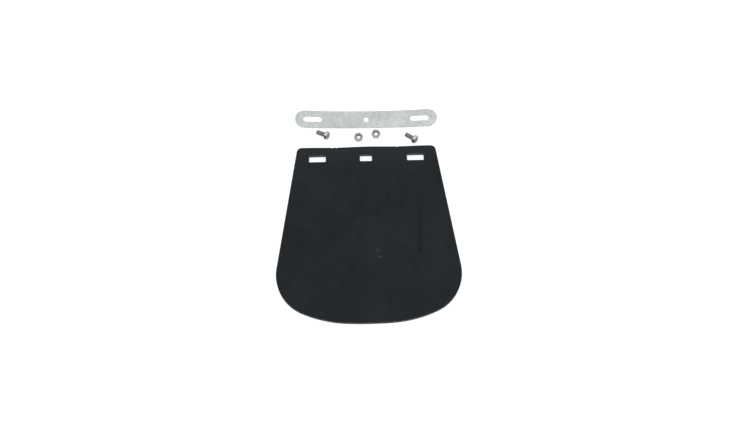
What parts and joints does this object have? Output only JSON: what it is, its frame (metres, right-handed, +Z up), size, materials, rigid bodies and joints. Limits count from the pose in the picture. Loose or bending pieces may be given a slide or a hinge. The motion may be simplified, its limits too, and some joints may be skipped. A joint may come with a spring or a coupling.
{
  "type": "mud flap kit",
  "caption": "Rubber mud flap with slotted clamp edge and rounded hem, laid out with its backing strap, bolts and nuts.",
  "frame": {"origin": "under the middle of the flat layout, on the surface that the pieces lie on", "axes": "+X along the strap, +Y from the flap's rounded hem to the strap, +Z up out of the surface"},
  "size_m": [0.22, 0.2698, 0.0105],
  "materials": {
    "flap_rubber": "matt moulded black rubber, faintly mottled",
    "strap_zinc": "galvanised sheet steel, dull with a mottled spangle",
    "fastener_zinc": "bright zinc-plated steel"
  },
  "bodies": {
    "flap_band": {"flap_clamp_band": "flap_rubber"},
    "flap_skirt": {"flap_skirt": "flap_rubber"},
    "strap": {"backing_strap": "strap_zinc"},
    "bolt_left": {"bolt_left": "fastener_zinc"},
    "bolt_right": {"bolt_right": "fastener_zinc"},
    "nut_left": {"nut_left": "fastener_zinc"},
    "nut_right": {"nut_right": "fastener_zinc"}
  },
  "joints": [
    {"name": "flap_flex", "type": "hinge", "parent": "flap_band", "child": "flap_skirt", "pos_m": [0, 0.04308, 0.003], "axis": [-1, 0, 0], "range_deg": [-60, 60], "stiffness_Nm_per_rad": 0.35},
    {"name": "strap_turn_over", "type": "hinge", "parent": "flap_band", "child": "strap", "pos_m": [0, 0.0967, 0.0068], "axis": [1, 0, 0], "range_deg": [0, 180]},
    {"name": "bolt_left_turn", "type": "hinge", "parent": "flap_band", "child": "bolt_left", "pos_m": [-0.06059, 0.10688, 0.00277], "axis": [0.8988, -0.4002, 0.1789], "continuous": true},
    {"name": "bolt_right_turn", "type": "hinge", "parent": "flap_band", "child": "bolt_right", "pos_m": [0.04915, 0.10159, 0.00277], "axis": [0.8059, -0.5643, 0.1789], "continuous": true},
    {"name": "nut_left_turn", "type": "hinge", "parent": "flap_band", "child": "nut_left", "pos_m": [-0.0091, 0.09898, 0.0025], "axis": [0, 0, 1], "continuous": true},
    {"name": "nut_right_turn", "type": "hinge", "parent": "flap_band", "child": "nut_right", "pos_m": [0.0125, 0.10278, 0.0025], "axis": [0, 0, 1], "continuous": true}
  ]
}
